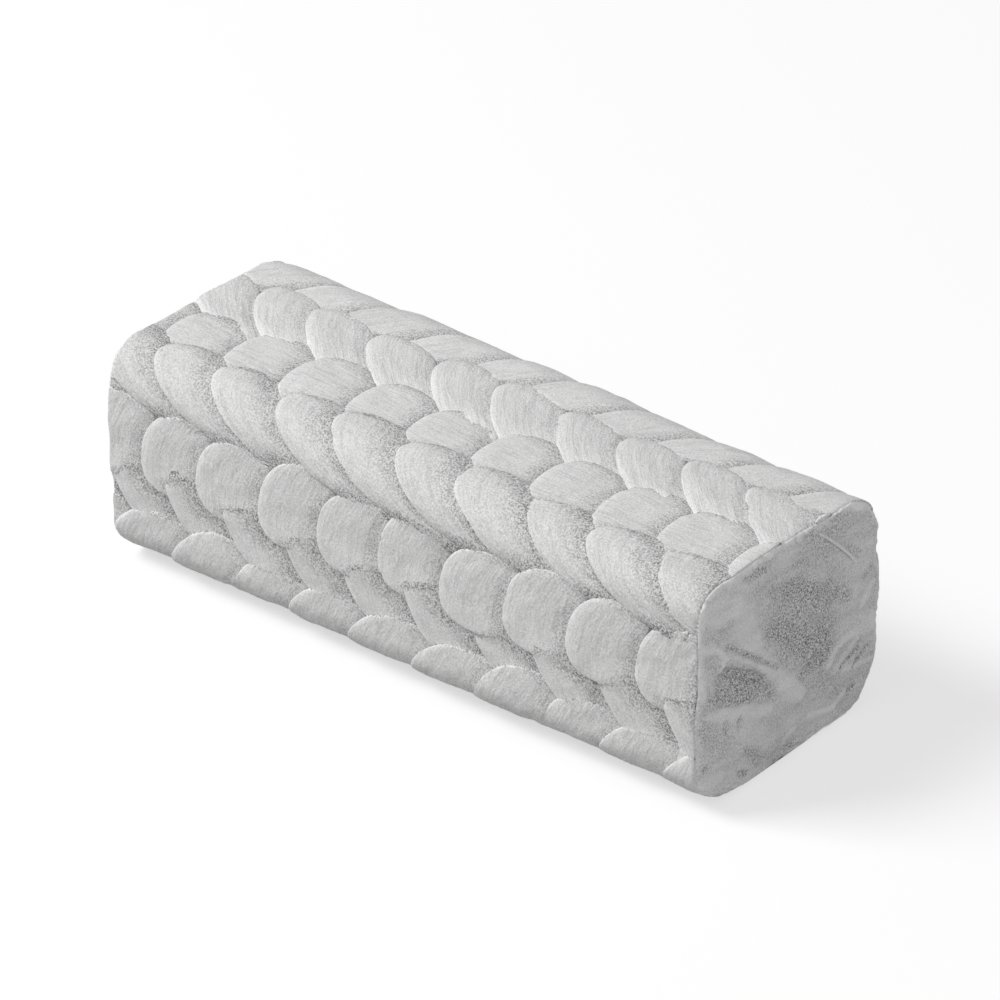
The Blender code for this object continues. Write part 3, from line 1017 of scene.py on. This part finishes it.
class PACKING_OT_stage(bpy.types.Operator):
    """Floor, lamps and the photograph's camera"""
    bl_idname = "packing.stage"
    bl_label = "Stage"

    def execute(self, context):
        scene = context.scene
        height = HIGH.z - LOW.z
        az, el = math.radians(CAMERA["azimuth"]), math.radians(CAMERA["elevation"])
        right = Vector((math.cos(az), math.sin(az), 0.0))
        ahead = Vector((-math.sin(az) * math.cos(el), math.cos(az) * math.cos(el), -math.sin(el)))
        up = right.cross(ahead)
        middle = Vector((HIGH.x - 1.5 * height, 0.0, LOW.z + 0.5 * height))
        middle += right * CAMERA["right"] * height + up * CAMERA["up"] * height
        camera_data = bpy.data.cameras.new("photo camera")
        camera_data.sensor_width = SENSOR
        camera_data.lens = CAMERA["scale"] * CAMERA["distance"] / 1000.0 * SENSOR
        camera_data.clip_start = 0.01
        camera = link_piece("photo camera", camera_data)
        camera.matrix_world = Matrix.Translation(middle - ahead * CAMERA["distance"] * height) @ \
            Matrix((right, up, -ahead)).transposed().to_4x4()
        scene.camera = camera

        bm = bmesh.new()
        bmesh.ops.create_grid(bm, x_segments=1, y_segments=1, size=FLOOR_SIZE)
        mesh = bpy.data.meshes.new("studio_floor")
        bm.to_mesh(mesh)
        bm.free()
        material, g = new_material("white studio floor")
        matt = g.add("ShaderNodeBsdfDiffuse", {}, {"Color": (*scene.packing_colours.floor, 1.0)})
        glow = g.add("ShaderNodeEmission", {}, {"Color": grey(1.0), "Strength": FLOOR_GLOW})
        lit = g.add("ShaderNodeAddShader", {}, {0: matt, 1: glow})
        shown = g.add("ShaderNodeMixShader", {}, {0: seen_directly(g), 1: matt, 2: lit})
        g.add("ShaderNodeOutputMaterial", {}, {"Surface": shown})
        mesh.materials.append(material)
        floor = link_piece("studio_floor", mesh)

        world = bpy.data.worlds.new("white studio")
        g = blank(world)
        dim = g.add("ShaderNodeBackground", {}, {"Color": grey(1.0), "Strength": WORLD_LIGHT})
        bright = g.add("ShaderNodeBackground", {}, {"Color": grey(1.0), "Strength": 1.0})
        both = g.add("ShaderNodeMixShader", {}, {0: seen_directly(g), 1: dim, 2: bright})
        g.add("ShaderNodeOutputWorld", {}, {"Surface": both})
        scene.world = world

        target = Vector((0.0, 0.0, height / 2))
        for name, place, size, watts in LAMPS:
            data = bpy.data.lights.new(name, "AREA")
            data.size = size
            data.energy = watts
            lamp = link_piece(name, data)
            lamp.location = place
            lamp.rotation_euler = (target - Vector(place)).to_track_quat("-Z", "Y").to_euler()
        scene.view_settings.view_transform = "Standard"
        return {"FINISHED"}


# ---- panel and registration ----

OPERATORS = (PACKING_OT_strand_rows, PACKING_OT_core, PACKING_OT_cut_ends, PACKING_OT_loose_strands,
             PACKING_OT_stage)


class PACKING_PT_panel(bpy.types.Panel):
    bl_label = "Gland packing"
    bl_idname = "PACKING_PT_panel"
    bl_space_type = "VIEW_3D"
    bl_region_type = "UI"
    bl_category = "Packing"

    def draw(self, context):
        for group in (context.scene.packing_sizes, context.scene.packing_colours):
            box = self.layout.box()
            for name in group.__annotations__:
                box.prop(group, name)
        for operator in OPERATORS:
            self.layout.operator(operator.bl_idname)


CLASSES = (PackingSizes, PackingColours, *OPERATORS, PACKING_PT_panel)


def register():
    for entry in CLASSES:
        bpy.utils.register_class(entry)
    bpy.types.Scene.packing_sizes = bpy.props.PointerProperty(type=PackingSizes)
    bpy.types.Scene.packing_colours = bpy.props.PointerProperty(type=PackingColours)


def unregister():
    del bpy.types.Scene.packing_sizes
    del bpy.types.Scene.packing_colours
    for entry in reversed(CLASSES):
        bpy.utils.unregister_class(entry)


def main():
    register()
    bpy.ops.packing.strand_rows()
    bpy.ops.packing.core()
    bpy.ops.packing.cut_ends()
    bpy.ops.packing.loose_strands()
    bpy.ops.packing.stage()


if __name__ == "__main__":
    main()
